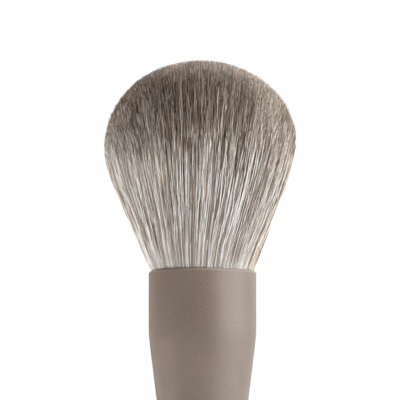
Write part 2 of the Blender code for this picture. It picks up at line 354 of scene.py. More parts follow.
def build_fibre_group():
    """The dyed fibre. Across its map it goes from brown to silver, and up it from root to tip."""
    tree, start, end = new_group(
        "dyed_fibre",
        [
            ("Dye Start", "Float", DYE_START),
            ("Dye End", "Float", DYE_END),
            ("Painted Glint", "Float", PAINTED_GLINT),
        ],
        [("Colour", "Color"), ("Roughness", "Float")],
    )
    where = add_node(tree, "ShaderNodeUVMap", uv_map=FIBRE_MAP).outputs["UV"]
    split = add_node(tree, "ShaderNodeSeparateXYZ", {"Vector": where}).outputs
    root = ramp(tree, split["X"], ROOT_COLOURS)
    tip = ramp(tree, split["X"], TIP_COLOURS)
    begin, full = start["Dye Start"], start["Dye End"]
    dyed = ranged(tree, split["Y"], start=begin, end=full, kind="SMOOTHSTEP")
    undyed = calculate(tree, "SUBTRACT", 1.0, dyed)
    # The undyed fibre is a cooler white near the ferrule
    near_root = ranged(tree, split["Y"], start=COOL_UP_TO, end=0.0)
    cooled = mixed(tree, near_root, root, (*COOL_ROOT, 1.0), "MULTIPLY")
    # Thin dye filters the fibre's colour a little, and full dye covers it
    under = add_node(tree, "ShaderNodeGamma", {"Color": cooled, "Gamma": undyed}).outputs["Color"]
    over = add_node(tree, "ShaderNodeGamma", {"Color": tip, "Gamma": dyed}).outputs["Color"]
    both = mixed(tree, 1.0, under, over, "MULTIPLY")
    thin = calculate(tree, "MULTIPLY", dyed, undyed)
    warmed = mixed(tree, thin, both, (*THIN_DYE, 1.0), "MULTIPLY")
    # Painted glints: each fibre is lighter and darker along its length, as crimped fibre catches
    # the light
    inputs = {0: where, 1: (GLINTS_ACROSS, GLINTS_ALONG, 0.0)}
    spread = add_node(tree, "ShaderNodeVectorMath", inputs, operation="MULTIPLY").outputs["Vector"]
    inputs = {"Vector": spread, "Scale": 1.0, "Detail": 1.0}
    noise = add_node(tree, "ShaderNodeTexNoise", inputs, noise_dimensions="2D").outputs["Fac"]
    uneven = calculate(tree, "SUBTRACT", noise, 0.5)
    glint = calculate(tree, "MULTIPLY_ADD", uneven, start["Painted Glint"], 1.0)
    roughness = ranged(tree, dyed, low=0.42, high=0.62)
    put_out(tree, end, Colour=scaled(tree, warmed, glint), Roughness=roughness)
    return tree


def build_roots_group():
    """Fibre ends packed side by side in glue: long cells up the axis, each with its own shade."""
    tree, start, end = new_group(
        "glued_roots",
        [
            ("Fibre Colour", "Color", (0.8, 0.77, 0.72, 1.0)),
            ("Glue Colour", "Color", (*AMBER, 1.0)),
            ("Fibre Width", "Float", 0.15 * MM),
        ],
        [("Colour", "Color"), ("Height", "Float")],
    )
    where = add_node(tree, "ShaderNodeTexCoord").outputs["Object"]
    inputs = {0: where, 1: ROOT_STRETCH}
    long_way = add_node(tree, "ShaderNodeVectorMath", inputs, operation="MULTIPLY").outputs
    fibres = calculate(tree, "DIVIDE", 1.0, start["Fibre Width"])
    inputs = {"Vector": long_way["Vector"], "Scale": fibres}
    cells = add_node(tree, "ShaderNodeTexVoronoi", inputs).outputs
    edge = ranged(tree, cells["Distance"], start=0.30, end=0.55, kind="SMOOTHSTEP")
    split = add_node(tree, "ShaderNodeSeparateXYZ", {"Vector": cells["Color"]}).outputs
    shaded = scaled(tree, start["Fibre Colour"], ranged(tree, split["X"], low=0.65, high=1.05))
    colour = mixed(tree, edge, shaded, start["Glue Colour"])
    put_out(tree, end, Colour=colour, Height=calculate(tree, "SUBTRACT", 1.0, edge))
    return tree


def build_thread_group():
    """Twisted cotton: slanting plies round the brush's axis, with a little uneven lint."""
    tree, start, end = new_group(
        "twisted_cotton",
        [
            ("Colour", "Color", (*COTTON, 1.0)),
            ("Plies Round", "Float", 110.0),
            ("Slant", "Float", 9000.0),
        ],
        [("Colour", "Color"), ("Height", "Float")],
    )
    where = add_node(tree, "ShaderNodeTexCoord").outputs["Object"]
    split = add_node(tree, "ShaderNodeSeparateXYZ", {"Vector": where}).outputs
    angle = calculate(tree, "ARCTAN2", split["Y"], split["X"])
    round_it = calculate(tree, "MULTIPLY", angle, start["Plies Round"])
    slanted = calculate(tree, "MULTIPLY_ADD", split["Z"], start["Slant"], round_it)
    ply = calculate(tree, "SINE", slanted)
    lint = add_node(tree, "ShaderNodeTexNoise", {"Vector": where, "Scale": 3500.0}).outputs["Fac"]
    height = calculate(tree, "MULTIPLY_ADD", ply, PLY_RELIEF, lint)
    # Painted shade: the colour is darker down between the plies, and uneven with the lint
    colour = scaled(tree, start["Colour"], ranged(tree, height, low=0.70, high=1.05))
    put_out(tree, end, Colour=colour, Height=height)
    return tree


def build_resin_group():
    """Cast amber resin, cloudy here and there, with small bubbles."""
    tree, start, end = new_group(
        "cast_resin",
        [
            ("Colour", "Color", (*AMBER, 1.0)),
            ("Cloud Size", "Float", 4.0 * MM),
            ("Bubble Size", "Float", 0.8 * MM),
        ],
        [("Colour", "Color"), ("Roughness", "Float"), ("Height", "Float")],
    )
    where = add_node(tree, "ShaderNodeTexCoord").outputs["Object"]
    inputs = {"Vector": where, "Scale": calculate(tree, "DIVIDE", 1.0, start["Cloud Size"])}
    clouds = add_node(tree, "ShaderNodeTexNoise", inputs).outputs["Fac"]
    colour = scaled(tree, start["Colour"], ranged(tree, clouds, low=0.75, high=1.25))
    roughness = ranged(tree, clouds, low=0.18, high=0.36)
    inputs = {"Vector": where, "Scale": calculate(tree, "DIVIDE", 1.0, start["Bubble Size"])}
    bubbles = add_node(tree, "ShaderNodeTexVoronoi", inputs).outputs
    pit = ranged(tree, bubbles["Distance"], end=0.25)
    put_out(tree, end, Colour=colour, Roughness=roughness, Height=pit)
    return tree


def patterned(name, group, colour, roughness, depth=None, shine=PLAIN_SHINE, inputs=None):
    """A material whose colour, bump and, where the group has it, roughness come from a group."""
    material, shader = new_material(name, colour, roughness, shine)
    tree = material.node_tree
    pattern = add_node(tree, "ShaderNodeGroup", inputs, node_tree=group)
    tree.links.new(pattern.outputs["Colour"], shader.inputs["Base Color"])
    if "Roughness" in pattern.outputs:
        tree.links.new(pattern.outputs["Roughness"], shader.inputs["Roughness"])
    if depth:
        inputs = {"Height": pattern.outputs["Height"], "Strength": 1.0, "Distance": depth}
        bump = add_node(tree, "ShaderNodeBump", inputs)
        tree.links.new(bump.outputs["Normal"], shader.inputs["Normal"])
    return material


def coat(name, group, colour, grain_size, speckle):
    """A sprayed coat, with its grain's size and the strength of its speckle."""
    inputs = {
        "Colour": (*colour, 1.0),
        "Grain Size": grain_size,
        "Speckle": speckle,
        "Roughness": COAT_ROUGHNESS,
        "Roughness Spread": COAT_ROUGHNESS_SPREAD,
    }
    return patterned(name, group, colour, COAT_ROUGHNESS, COAT_DEPTH, inputs=inputs)


def paint_rim_highlight(paint):
    """A painted highlight: the coat is a little paler over the rolled rim."""
    tree = paint.node_tree
    where = add_node(tree, "ShaderNodeTexCoord").outputs["Object"]
    height = add_node(tree, "ShaderNodeSeparateXYZ", {"Vector": where}).outputs["Z"]
    low, high = FERRULE_RIM - RIM_ROUNDING, FERRULE_RIM - RIM_ROUNDING / 2
    near = ranged(tree, height, start=low, end=high)
    colour = mixed(tree, near, (*FERRULE_TAUPE, 1.0), (*FERRULE_RIM_HIGHLIGHT, 1.0))
    grain = next(node for node in tree.nodes if node.type == "GROUP")
    tree.links.new(colour, grain.inputs["Colour"])


# Turned pieces

EDGE_SOFTENING = 0.1 * MM
TAIL_SOFTENING = 0.12 * MM
CRIMP_SOFTENING = 0.25 * MM
LIP_SOFTENING = 0.08 * MM
LIP_SLOPE = 0.3 * MM
TENON_BEVEL = 0.8 * MM
SHARP_ANGLE = math.radians(40)
WAIST_STEPS = 18
THREAD_STEPS = 96


def rounded(corners, closed=False, steps=6):
    """The line through corners of (radius, height, rounding), with an arc at each rounded one."""
    line = []
    count = len(corners)
    for index, (radius, height, rounding) in enumerate(corners):
        corner = Vector((radius, height))
        if not (rounding and (closed or 0 < index < count - 1)):
            line.append(corner)
            continue
        back = (Vector(corners[index - 1][:2]) - corner).normalized()
        ahead = (Vector(corners[(index + 1) % count][:2]) - corner).normalized()
        half_angle = back.angle(ahead) / 2
        reach = rounding / math.tan(half_angle)
        centre = corner + (back + ahead).normalized() * rounding / math.sin(half_angle)
        first = corner + back * reach - centre
        turn = first.angle_signed(corner + ahead * reach - centre)
        for step in range(steps + 1):
            angle = -turn * step / steps
            across = first.x * math.cos(angle) - first.y * math.sin(angle)
            up = first.x * math.sin(angle) + first.y * math.cos(angle)
            line.append(centre + Vector((across, up)))
    return line


def finish_piece(name, shape, material, node):
    """The shape as a piece of the brush, in place of its plain solid."""
    mesh = bpy.data.meshes.new(name)
    shape.to_mesh(mesh)
    shape.free()
    mesh.shade_smooth()
    mesh.set_sharp_from_angle(angle=SHARP_ANGLE)
    mesh.materials.append(material)
    piece = bpy.data.objects.new(name, mesh)
    scene.collection.objects.link(piece)
    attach(piece, "root")
    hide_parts(node)


def turned(line, segments, height=0.0, closed=False):
    """A shape spun round the brush's axis from a line of (radius, height) points."""
    shape = bmesh.new()
    points = [shape.verts.new((radius, 0.0, up + height)) for radius, up in line]
    pairs = list(zip(points, points[1:]))
    if closed:
        pairs.append((points[-1], points[0]))
    edges = [shape.edges.new(pair) for pair in pairs]
    bmesh.ops.spin(
        shape,
        geom=points + edges,
        cent=(0.0, 0.0, 0.0),
        axis=(0.0, 0.0, 1.0),
        angle=TAU,
        steps=segments,
        use_merge=True,
    )
    bmesh.ops.remove_doubles(shape, verts=shape.verts, dist=1e-7)
    bmesh.ops.recalc_face_normals(shape, faces=shape.faces)
    if shape.calc_volume(signed=True) < 0:
        bmesh.ops.reverse_faces(shape, faces=shape.faces)
    return shape


def crimped(radius, softening):
    """Corners up a wall of this radius, with a rolled groove at each crimp ring."""
    corners = []
    for height in CRIMP_HEIGHTS:
        corners.append((radius, height - CRIMP_WIDTH / 2, softening))
        corners.append((radius - CRIMP_DEPTH, height, CRIMP_DEPTH))
        corners.append((radius, height + CRIMP_WIDTH / 2, softening))
    return corners


def add_ferrule(material):
    bend = TAPER_BEND_RADIUS
    straight = FERRULE_LENGTH - STRAIGHT_LENGTH
    corners = [
        (SEAT_RADIUS, 0.0, TAIL_SOFTENING),
        *crimped(SEAT_RADIUS, CRIMP_SOFTENING),
        (SEAT_RADIUS, SEAT_LENGTH, bend),
        (MOUTH_RADIUS, straight, bend),
        (MOUTH_RADIUS, FERRULE_LENGTH, RIM_ROUNDING),
        (LIP_RADIUS, FERRULE_LENGTH, LIP_SOFTENING),
        (LIP_RADIUS, FERRULE_LENGTH - LIP_DEPTH, EDGE_SOFTENING),
        (MOUTH_RADIUS - FERRULE_WALL, FERRULE_LENGTH - LIP_DEPTH - LIP_SLOPE, 0.0),
        (MOUTH_RADIUS - FERRULE_WALL, straight, bend),
        (SEAT_RADIUS - FERRULE_WALL, SEAT_LENGTH, bend),
        *reversed(crimped(SEAT_RADIUS - FERRULE_WALL, 0.0)),
        (SEAT_RADIUS - FERRULE_WALL, 0.0, 0.0),
    ]
    line = rounded(corners, closed=True)
    shape = turned(line, segments=160, height=FERRULE_TAIL, closed=True)
    finish_piece("ferrule_tube", shape, material, "ferrule")


def add_handle(material):
    corners = [(0.0, 0.0, 0.0), (FOOT_RADIUS, 0.0, FOOT_ROUNDING)]
    for step in range(1, WAIST_STEPS):
        ease = (1 + math.cos(math.pi * step / WAIST_STEPS)) / 2
        radius = WAIST_RADIUS + (FOOT_RADIUS - WAIST_RADIUS) * ease
        height = FOOT_ROUNDING + (WAIST_HEIGHT - FOOT_ROUNDING) * step / WAIST_STEPS
        corners.append((radius, height, 0.0))
    shoulder = HANDLE_LENGTH - SHOULDER_ROUNDING
    for step in range(WAIST_STEPS):
        ease = (1 - math.cos(math.pi * step / WAIST_STEPS)) / 2
        radius = WAIST_RADIUS + (SEAT_RADIUS - WAIST_RADIUS) * ease
        height = WAIST_HEIGHT + (shoulder - WAIST_HEIGHT) * step / WAIST_STEPS
        corners.append((radius, height, 0.0))
    tenon = SEAT_RADIUS - FERRULE_WALL - FIT_GAP
    top = HANDLE_LENGTH + TENON_LENGTH
    corners += [
        (SEAT_RADIUS, HANDLE_LENGTH, SHOULDER_ROUNDING),
        (tenon, HANDLE_LENGTH, 0.0),
        *[(radius, FERRULE_TAIL + up, bend) for radius, up, bend in crimped(tenon, 0.0)],
        (tenon, top - TENON_BEVEL, 0.0),
        (tenon - TENON_BEVEL, top, 0.0),
        (0.0, top, 0.0),
    ]
    shape = turned(rounded(corners), segments=144)
    finish_piece("handle_body", shape, material, "handle")


def add_root_slices(material):
    """The three slices of glued roots, one inside the other, under the fibres."""
    thread_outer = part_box("binding_thread")[1][0]
    widest = thread_outer - THREAD_THICKNESS - FIT_GAP
    pitch = (widest - SLICE_MARGIN) / (ROOT_RINGS + ROOT_FILL)
    ridge = pitch * ROOT_FILL / 4
    core_join = (CORE_RINGS + 0.5) * pitch + ridge
    middle_join = (MIDDLE_RINGS + 0.5) * pitch + ridge
    bottom, top = -ROOT_DEPTH - SLICE_THICKNESS, -ROOT_DEPTH
    half_gap = FIT_GAP / 2
    slices = [
        ("core", "core_taupe_fibre", 0.0, core_join - half_gap),
        ("middle", "middle_taupe_fibre", core_join + half_gap, middle_join - half_gap),
        ("outer", "outer_silver_taupe_fibre", middle_join + half_gap, widest),
    ]
    for name, slot, inner, outer in slices:
        soft = EDGE_SOFTENING if inner else 0.0
        corners = [
            (inner, bottom, soft),
            (outer, bottom, EDGE_SOFTENING),
            (outer, top, EDGE_SOFTENING),
            (inner, top, soft),
        ]
        line = rounded(corners, closed=bool(inner), steps=2)
        shape = turned(line, segments=96, height=FERRULE_RIM, closed=bool(inner))
        finish_piece(f"{name}_roots", shape, material, f"{name}_bristles")


def add_binding_thread(material):
    """The thread that ties the roots: wound up round them, each turn on the one below."""
    lowest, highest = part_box("binding_thread")
    thick = THREAD_THICKNESS / 2
    rise = highest[2] - lowest[2] - THREAD_THICKNESS
    turns = round(rise / THREAD_THICKNESS)
    steps = THREAD_STEPS
    shape = bmesh.new()
    ring = bmesh.ops.create_circle(shape, cap_ends=True, radius=thick, segments=12)["verts"]
    bmesh.ops.rotate(shape, verts=ring, matrix=Matrix.Rotation(math.pi / 2, 3, "X"))
    bmesh.ops.translate(shape, verts=ring, vec=(highest[0] - thick, 0.0, lowest[2] + thick))
    whole = list(ring) + list(shape.edges) + list(shape.faces)
    start = bmesh.ops.duplicate(shape, geom=whole)["geom"]
    bmesh.ops.spin(
        shape,
        geom=[item for item in start if isinstance(item, bmesh.types.BMFace)],
        axis=(0.0, 0.0, 1.0),
        dvec=(0.0, 0.0, rise / (turns * steps)),
        angle=TAU * turns,
        steps=turns * steps,
    )
    bmesh.ops.remove_doubles(shape, verts=shape.verts, dist=1e-6)
    bmesh.ops.recalc_face_normals(shape, faces=shape.faces)
    finish_piece("wound_thread", shape, material, "binding_thread")


# Bristles, in millimetres. Places across the head go from -1 at its left to 1 at its right

FIBRE_COUNT = 30000
LOCK_COUNT = 10400
CLUMP_COUNT = 420
FIBRE_ROOT = -12.9
GIRTH_SPREAD = 0.14
GIRTH_LIMITS = (0.6, 1.4)

# The outermost fibres' way out from the mouth, and the bundle's twist
MOUTH_SPREAD = 11.42
STRAIGHT_FLARE = 0.415
UPPER_FLARE = 0.32
FLARE_TURN = 15.0
FLARE_SET = 22.0
ROOT_FLARE = 0.085
TWIST = 0.19
TWIST_FADE = 16.0
LEAN = 0.030
PINCH = 0.36
PINCH_FADE = 0.3
PINCH_TURN = 1.1

# The surface that the tips are trimmed to
TRIMMED_LEAN = 0.32
BELLY_TURN = 16.0
BELLY_CURVE = 0.0094
DOME_RADIUS = 21.5
DOME_HEIGHT = 18.8
DOME_BASE = 28.5
DOME_FULLNESS = 2.04
LOWEST_TIP = 21.0
HALVINGS = 24

# How fibres end: a little under the surface, many of them short of it and a few proud
TIP_INSET = 0.08
LOCK_LENGTH_SPREAD = 0.07
FIBRE_LENGTH_SPREAD = 0.05
SHORT_PART, SHORT_BY = 0.40, 0.8
PROUD_PART, PROUD_BY, PROUD_MOST = 0.003, 0.3, 0.5

# The longer fibres of the face, which bend back over the dome: fewer of them towards the sides
BENT_FROM = 0.80
BENT_PART = 0.32
BENT_MIDDLE, BENT_FALL = 1.25, 1.45
BENT_REACH = (2.0, 10.5)
BENT_SUNK = 0.35
BENT_SHALLOWEST = 1.0
BEND_EASE = 0.35

# How far fibres are drawn to the middle of their lock and of their clump, and over what height
LOCK_DRAW = 0.24
CLUMP_DRAW = 0.10
DRAWN_BY = 18.0
KEPT_OUT = (0.86, 0.98)

# The last stretch of a fibre, where it is freer of its lock and sways less with it
TIP_REACH = 8.0
TIP_FREED = 0.85
TIP_CALMED = 0.6
STIFF_UP_TO = 10.0

# What changes across the head, from its left to its right: how far up the dye is moved, how much
# darker the tips are, and how much more silver the fibres, which at both edges is painted light
PLACES = (-1.0, -0.86, -0.57, -0.29, 0.0, 0.29, 0.57, 0.86, 1.0)
DYE_RISE = (8.0, 6.6, 2.4, 0.8, 1.8, -3.8, -1.8, -6.0, -8.5)
DYE_DEPTH = (0.08, 0.09, 0.10, 0.11, 0.18, 0.04, -0.18, 0.05, 0.26)
PAINTED_EDGE_SILVER = (0.12, 0.08, 0.04, 0.01, 0.0, -0.03, 0.01, 0.04, 0.10)

# How much of a fibre's tint comes from its lock, and how much its clump's counts
ROOT_TINTS = (0.18, 0.20)
SIDE_TINTS = (0.08, 0.25)
TIP_TINTS = (0.40, 1.00)
CLUMP_TINT_SPREAD = 0.08
RANK_MARGIN = 0.01

# Heights over the rim between which a fibre's tint passes from root to side, and side to tip. The
# side's tint goes further up at the left
ROOT_TO_SIDE = (2.0, 14.0)
SIDE_TO_TIP = (18.0, 34.0)
LEFT_EDGE = (0.45, 1.0)
SILVER_UP_LEFT = 7.0

# Painted shade: the fibres under the face, seen in the gaps between its fibres, are browner and
# darker low down
FACE_INSIDE, FACE_DEPTH = 0.980, 0.045
PAINTED_SHADE_INSIDE = 0.30
PAINTED_SHADE_INSIDE_FADE = (12.0, 26.0)

# Painted light: the roots at the right are paler, as lit from the right, but not at its very edge,
# where they are browner, painted shade
PAINTED_LIGHT_FROM = (0.3, 0.6)
PAINTED_LIGHT_AT_RIGHT = 0.35
PAINTED_LIGHT_ROOT = 0.97
PAINTED_LIGHT_ROOT_UP_TO = 2.5
RIGHT_EDGE = (0.8, 1.0)
PAINTED_SHADE_AT_RIGHT_EDGE = 0.26

# How far the fibres' sides are parted into silver and brown, and where they differ less again
PARTING = 0.62
EVEN_RIGHT = (0.5, 0.9)
EVEN_RIGHT_BY, EVEN_RIGHT_TINT = 0.15, 0.45
EVEN_LEFT = (0.2, 0.5, 0.8, 0.95)
EVEN_LEFT_BY, EVEN_LEFT_TINT = (0.0, 0.22, 0.22, 0.1), 0.50

# Painted rim light: the crown's tips are paler than the face's, and so are those at the right and
# the far left
CROWN_EDGE = 0.58
CROWN_FADE = 0.32
CROWN_WIDENS = (-0.15, 0.35)
CROWN_WIDER = 0.20
RIM_LIGHT_TIPS_RIGHT = (0.30, 0.72, 0.82, 1.0)
RIM_LIGHT_TIPS_RIGHT_BY = (0.0, 0.60, 0.60, 0.0)
RIM_LIGHT_TIPS_LEFT, RIM_LIGHT_TIPS_LEFT_FADE = 0.65, 0.9
CROWN_LIGHT_TINT = 0.45
CROWN_LIGHT_EVENING = 0.36

# How much the height of the dye differs from lock to lock, clump to clump and fibre to fibre
LOCK_DYE_SPREAD = 1.8
CLUMP_DYE_SPREAD = 1.3
FIBRE_DYE_SPREAD = 2.6
SILVER_DYE_RISE = 8.5
BENT_DYE_DROP = 2.5


def smooth(value):
    value = np.clip(value, 0.0, 1.0)
    return value * value * (3 - 2 * value)


def eased(value, start, end):
    """0 up to start and 1 from end, with a smooth way between."""
    return smooth((value - start) / (end - start))


def bell(height, size, middle, width):
    return size * np.exp(-(((height - middle) / width) ** 2))


def spread_radius(height):
    """How far out the outermost fibres are, in mm, at a height in mm over the rim."""
    above = np.maximum(height, 0.0)
    easing = (STRAIGHT_FLARE - UPPER_FLARE) / (FLARE_SET - FLARE_TURN)
    turning = np.clip(above, FLARE_TURN, FLARE_SET) - FLARE_TURN
    past = np.maximum(above - FLARE_SET, 0.0)
    flare = STRAIGHT_FLARE * (above - past) - easing * turning**2 / 2 + UPPER_FLARE * past
    return MOUTH_SPREAD + flare + ROOT_FLARE * np.minimum(height, 0.0)


def trimmed_radius(height):
    """The radius in mm that the tips are trimmed to: the top of the belly and the dome."""
    past = np.maximum(height - BELLY_TURN, 0.0)
    belly = MOUTH_SPREAD + STRAIGHT_FLARE * height - BELLY_CURVE * past**2
    share = np.clip((height - DOME_BASE) / DOME_HEIGHT, 0.0, 1.0)
    dome = DOME_RADIUS * (1 - share**DOME_FULLNESS) ** (1 / DOME_FULLNESS)
    return np.where(height < DOME_BASE, np.minimum(belly, dome), dome)


def lean(height):
    """The fibres lean a little to the left of the ferrule."""
    return -LEAN * np.maximum(height, 0.0) + bell(height, size=-0.15, middle=5.0, width=3.0)


def trimmed_lean(height):
    """How far the trimmed surface's middle is from the ferrule's. It is to its left."""
    belly = bell(height, size=-0.50, middle=22.5, width=6.5)
    return -TRIMMED_LEAN + belly + bell(height, size=-0.20, middle=44.0, width=2.5)


def twist(height):
    """The whole bundle is set with a slight twist, most of it near the mouth."""
    return TWIST * (1 - np.exp(-np.maximum(height, 0.0) / TWIST_FADE))


def turned_by(points, angle):
    """Points in the last axis turned about the brush's axis."""
    across = points[..., 0] * np.cos(angle) - points[..., 1] * np.sin(angle)
    deep = points[..., 0] * np.sin(angle) + points[..., 1] * np.cos(angle)
    return np.stack([across, deep], axis=-1)


def tip_heights(root):
    """Where fibres with these places in the spread meet the trimmed surface, in mm over the rim."""
    low = np.full(len(root), LOWEST_TIP)
    high = np.full(len(root), DOME_BASE + DOME_HEIGHT)
    for _ in range(HALVINGS):
        middle = (low + high) / 2
        place = turned_by(root, twist(middle)) * spread_radius(middle)[:, None]
        place[:, 0] += lean(middle) - trimmed_lean(middle)
        inside = np.linalg.norm(place, axis=1) < trimmed_radius(middle)
        low, high = np.where(inside, middle, low), np.where(inside, high, middle)
    return low


def sunflower(count, generator, jitter):
    """Points spread evenly over a disc of radius 1, each moved a little at random."""
    index = np.arange(count) + 0.5
    radius = np.sqrt(index / count)
    angle = index * GOLDEN_ANGLE
    points = np.stack([radius * np.cos(angle), radius * np.sin(angle)], axis=1)
    points += generator.normal(0.0, jitter / math.sqrt(count), points.shape)
    size = np.linalg.norm(points, axis=1)
    return points / np.maximum(size, 1.0)[:, None]


def nearest(points, centres):
    tree = KDTree(len(centres))
    for index, (x, y) in enumerate(centres):
        tree.insert((x, y, 0.0), index)
    tree.balance()
    return np.array([tree.find((x, y, 0.0))[1] for x, y in points])


def ranked(values):
    """The values' ranks, spread evenly from just over 0 to just under 1."""
    return RANK_MARGIN + (1 - 2 * RANK_MARGIN) * np.argsort(np.argsort(values)) / len(values)


def parted(shares):
    """The shares from 0 to 1, pushed away from the middle."""
    side = 2.0 * shares - 1.0
    return 0.5 + 0.5 * np.sign(side) * np.abs(side) ** PARTING


class Wave:
    """Sideways waves, one for each fibre or lock, with their own sizes, lengths and starts."""

    def __init__(self, generator, count, size, shortest, longest):
        self.size = generator.normal(0.0, size, (count, 2))
        self.length = generator.uniform(shortest, longest, count)
        self.phase = generator.uniform(0.0, TAU, count)

    def at(self, chosen, height):
        phase = self.phase[chosen][:, None] + TAU * height / self.length[chosen][:, None]
        return self.size[chosen][:, None, :] * np.sin(phase)[..., None]


class Hair:
    """Where each fibre grows, the lock and clump that it lies in, and its own small differences."""

    def __init__(self, seed):
        generator = np.random.default_rng(seed)
        self.root = sunflower(FIBRE_COUNT, generator, jitter=0.35)
        self.locks = sunflower(LOCK_COUNT, generator, jitter=0.40)
        self.clumps = sunflower(CLUMP_COUNT, generator, jitter=0.45)
        self.lock_of = nearest(self.root, self.locks)
        self.clump_of = nearest(self.locks, self.clumps)[self.lock_of]
        self.share = np.linalg.norm(self.root, axis=1)
        self.turn = generator.uniform(0.0, TAU, FIBRE_COUNT)
        self.girth = generator.normal(1.0, GIRTH_SPREAD, FIBRE_COUNT).clip(*GIRTH_LIMITS)

        # Locks sway a little. Fibres dip in under their neighbours, stray, and are crimped
        self.sway = Wave(generator, LOCK_COUNT, size=0.13, shortest=26.0, longest=60.0)
        self.dip = Wave(generator, FIBRE_COUNT, size=0.16, shortest=9.0, longest=24.0)
        self.stray = Wave(generator, FIBRE_COUNT, size=0.10, shortest=11.0, longest=28.0)
        self.crimp = Wave(generator, FIBRE_COUNT, size=0.04, shortest=5.0, longest=8.0)
        self.trim(generator)
        self.dye(generator)

    def trim(self, generator):
        """How high each fibre's tip is."""
        uneven = generator.normal(0.0, LOCK_LENGTH_SPREAD, LOCK_COUNT)[self.lock_of]
        uneven = uneven + generator.normal(0.0, FIBRE_LENGTH_SPREAD, FIBRE_COUNT)
        short = generator.exponential(SHORT_BY, FIBRE_COUNT)
        short = short * (generator.random(FIBRE_COUNT) < SHORT_PART)
        proud = generator.exponential(PROUD_BY, FIBRE_COUNT).clip(0.0, PROUD_MOST)
        proud = proud * (generator.random(FIBRE_COUNT) < PROUD_PART)
        self.tip = tip_heights(self.root) - TIP_INSET + uneven - short + proud

        # Only the front and the back of the face have bent fibres
        facing = np.clip(BENT_MIDDLE - BENT_FALL * np.abs(self.root[:, 0]), 0.0, 1.0)
        facing = facing * (self.share > BENT_FROM)
        self.bent = generator.random(FIBRE_COUNT) < BENT_PART * facing
        self.tip = self.tip + self.bent * generator.uniform(*BENT_REACH, FIBRE_COUNT) * facing
        self.sunk = generator.uniform(0.0, BENT_SUNK, FIBRE_COUNT)

    def dye(self, generator):
        """How silver each fibre's root, side and tip are, from 0 to 1, and how high its dye is."""
        lock_tint = generator.random(LOCK_COUNT)[self.lock_of]
        clump_tint = generator.normal(0.0, CLUMP_TINT_SPREAD, CLUMP_COUNT)[self.clump_of]
        own_tint = generator.random(FIBRE_COUNT)

        def shared(lock, clump):
            return lock * lock_tint + (1 - lock) * own_tint + clump * clump_tint

        # Painted light: both sides of the head are a little more silver than its middle, as lit
        # from behind, apart from the roots at its right edge, which are browner, painted shade that
        # tones down the light there
        across = self.root[:, 0]
        at_edge = eased(across, *RIGHT_EDGE)
        silver = np.interp(across, PLACES, PAINTED_EDGE_SILVER)
        self.root_tint = ranked(shared(*ROOT_TINTS) + silver - PAINTED_SHADE_AT_RIGHT_EDGE * at_edge)
        side = parted(ranked(shared(*SIDE_TINTS) + silver))
        side = side + (EVEN_RIGHT_TINT - side) * EVEN_RIGHT_BY * eased(across, *EVEN_RIGHT)
        side = side + (EVEN_LEFT_TINT - side) * np.interp(-across, EVEN_LEFT, EVEN_LEFT_BY)
        self.side_tint = side
        self.silver_rise = np.interp(-across, LEFT_EDGE, (0.0, SILVER_UP_LEFT))
        self.inner = np.clip((FACE_INSIDE - self.share) / FACE_DEPTH, 0.0, 1.0)
        # Painted light on the roots at the right, short of the edge
        self.pale = PAINTED_LIGHT_AT_RIGHT * eased(across, *PAINTED_LIGHT_FROM) * (1 - at_edge)

        # Painted rim light: paler tips at the crown, the right and the far left
        edge = CROWN_EDGE + CROWN_WIDER * eased(across, *CROWN_WIDENS)
        crown = np.clip((edge - self.share) / CROWN_FADE, 0.0, 1.0)
        at_right = np.interp(across, RIM_LIGHT_TIPS_RIGHT, RIM_LIGHT_TIPS_RIGHT_BY)
        far_left = np.clip((-across - RIM_LIGHT_TIPS_LEFT) / RIM_LIGHT_TIPS_LEFT_FADE, 0.0, 1.0)
        pale = np.maximum(crown, np.maximum(at_right, far_left))
        depth = np.interp(across, PLACES, DYE_DEPTH)
        tip = np.clip(ranked(shared(*TIP_TINTS)) - depth, 0.0, 1.0)
        self.tip_tint = np.clip(tip * (1.0 - CROWN_LIGHT_EVENING * pale) + CROWN_LIGHT_TINT * pale, 0.0, 1.0)

        shift = generator.normal(0.0, LOCK_DYE_SPREAD, LOCK_COUNT)[self.lock_of]
        shift = shift + generator.normal(0.0, CLUMP_DYE_SPREAD, CLUMP_COUNT)[self.clump_of]
        shift = shift + generator.normal(0.0, FIBRE_DYE_SPREAD, FIBRE_COUNT)
        shift = shift + SILVER_DYE_RISE * (self.side_tint - 0.5)
        shift = shift + np.interp(across, PLACES, DYE_RISE)
        self.dye_shift = shift - BENT_DYE_DROP * self.bent

    def paths(self, chosen, levels):
        """Points along the chosen fibres in mm: sideways places, and heights over the rim."""
        tip = self.tip[chosen][:, None]
        levels = np.array(levels)[None, :]
        height = np.where(levels < 0, -levels * FIBRE_ROOT, levels * tip)
        near_tip = eased(height - tip, -TIP_REACH, 0.0)
        drawn = eased(height, 0.0, DRAWN_BY)[..., None]
        to_lock = LOCK_DRAW * drawn * (1 - TIP_FREED * near_tip)[..., None]
        own = self.root[chosen][:, None, :]
        lock = self.locks[self.lock_of[chosen]][:, None, :]
        clump = self.clumps[self.clump_of[chosen]][:, None, :]
        place = own + (lock - own) * to_lock + (clump - own) * CLUMP_DRAW * drawn
        # Fibres of the outer face are drawn along it, not in from it
        size = np.linalg.norm(place, axis=2, keepdims=True)
        kept = self.share[chosen][:, None, None]
        place = place / np.maximum(size, 1e-6) * (size + (kept - size) * eased(kept, *KEPT_OUT))
        # The lip pinches the bundle, less at the right
        pinch = PINCH * (1 - smooth(0.5 + PINCH_TURN * self.root[chosen][:, :1]))
        spread = spread_radius(height) - pinch * np.exp(-np.maximum(height, 0.0) / PINCH_FADE)
        path = turned_by(place, twist(height)) * spread[..., None]
